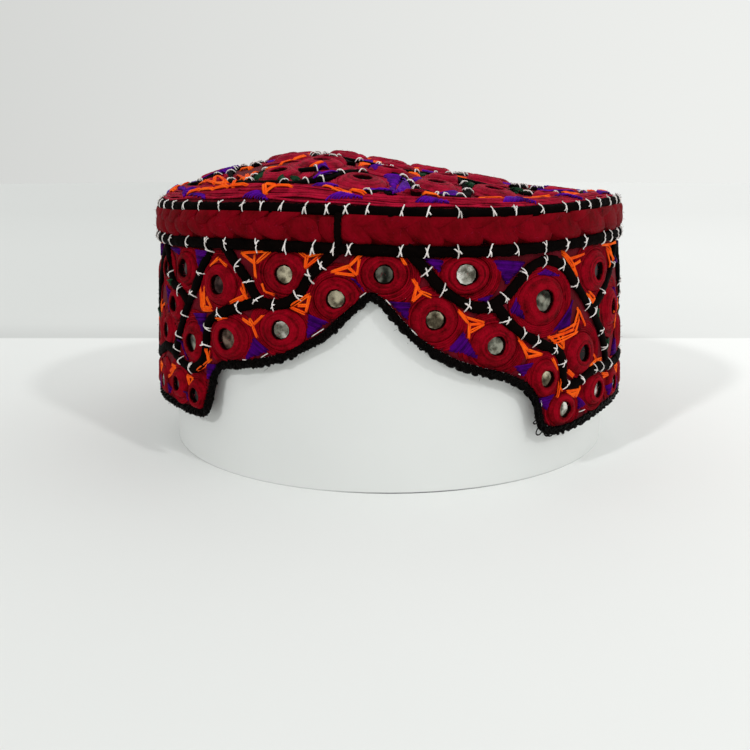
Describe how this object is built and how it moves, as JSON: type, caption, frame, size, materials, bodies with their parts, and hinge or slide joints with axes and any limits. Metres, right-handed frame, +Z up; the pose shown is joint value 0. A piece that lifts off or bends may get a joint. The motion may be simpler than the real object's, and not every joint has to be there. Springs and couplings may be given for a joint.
{
  "type": "sindhi cap on round display stand",
  "caption": "Embroidered round cap with a domed crown, pointed front arch, corded plait band and small mirrors, on an open card hoop.",
  "frame": {"origin": "centre of the foot of the display stand, on the surface it rests on", "axes": "+Z up, the pointed arch at the front of the cap faces -Y, +X to the right seen from the front"},
  "size_m": [0.19, 0.1888, 0.1131],
  "materials": {
    "white_card": "matt white card",
    "crimson_cloth": "dense crimson thread embroidery",
    "crimson_braid": "plaited crimson thread, soft sheen",
    "black_cord": "black cotton cord and crochet",
    "mirror_glass": "small dull mirror glass",
    "orange_thread": "bright orange thread",
    "purple_thread": "violet satin thread",
    "green_thread": "dark green thread",
    "white_thread": "off-white thread"
  },
  "bodies": {
    "root": {"stand_hoop": "white_card", "crown": "crimson_cloth", "side_wall": "crimson_cloth", "braid_band": "crimson_braid", "band_seam": "black_cord", "top_cord": "black_cord", "lower_cord": "black_cord", "hem_edging": "black_cord", "wall_mirror_01": "mirror_glass", "wall_mirror_02": "mirror_glass", "wall_mirror_03": "mirror_glass", "wall_mirror_04": "mirror_glass", "wall_mirror_05": "mirror_glass", "wall_mirror_06": "mirror_glass", "wall_mirror_07": "mirror_glass", "wall_mirror_08": "mirror_glass", "wall_mirror_09": "mirror_glass", "wall_mirror_10": "mirror_glass", "wall_mirror_11": "mirror_glass", "wall_mirror_12": "mirror_glass", "wall_mirror_13": "mirror_glass", "wall_mirror_14": "mirror_glass", "wall_mirror_15": "mirror_glass", "wall_mirror_16": "mirror_glass", "wall_mirror_17": "mirror_glass", "wall_mirror_18": "mirror_glass", "wall_mirror_19": "mirror_glass", "wall_mirror_20": "mirror_glass", "wall_mirror_21": "mirror_glass", "wall_mirror_22": "mirror_glass", "wall_mirror_23": "mirror_glass", "wall_mirror_24": "mirror_glass", "wall_mirror_25": "mirror_glass", "wall_mirror_26": "mirror_glass", "wall_mirror_27": "mirror_glass", "wall_mirror_28": "mirror_glass", "wall_mirror_29": "mirror_glass", "wall_mirror_30": "mirror_glass", "crown_mirror_01": "mirror_glass", "crown_mirror_02": "mirror_glass", "crown_mirror_03": "mirror_glass", "crown_mirror_04": "mirror_glass", "crown_mirror_05": "mirror_glass", "crown_mirror_06": "mirror_glass", "crown_mirror_07": "mirror_glass", "crown_mirror_08": "mirror_glass", "crown_mirror_09": "mirror_glass"}
  },
  "joints": []
}
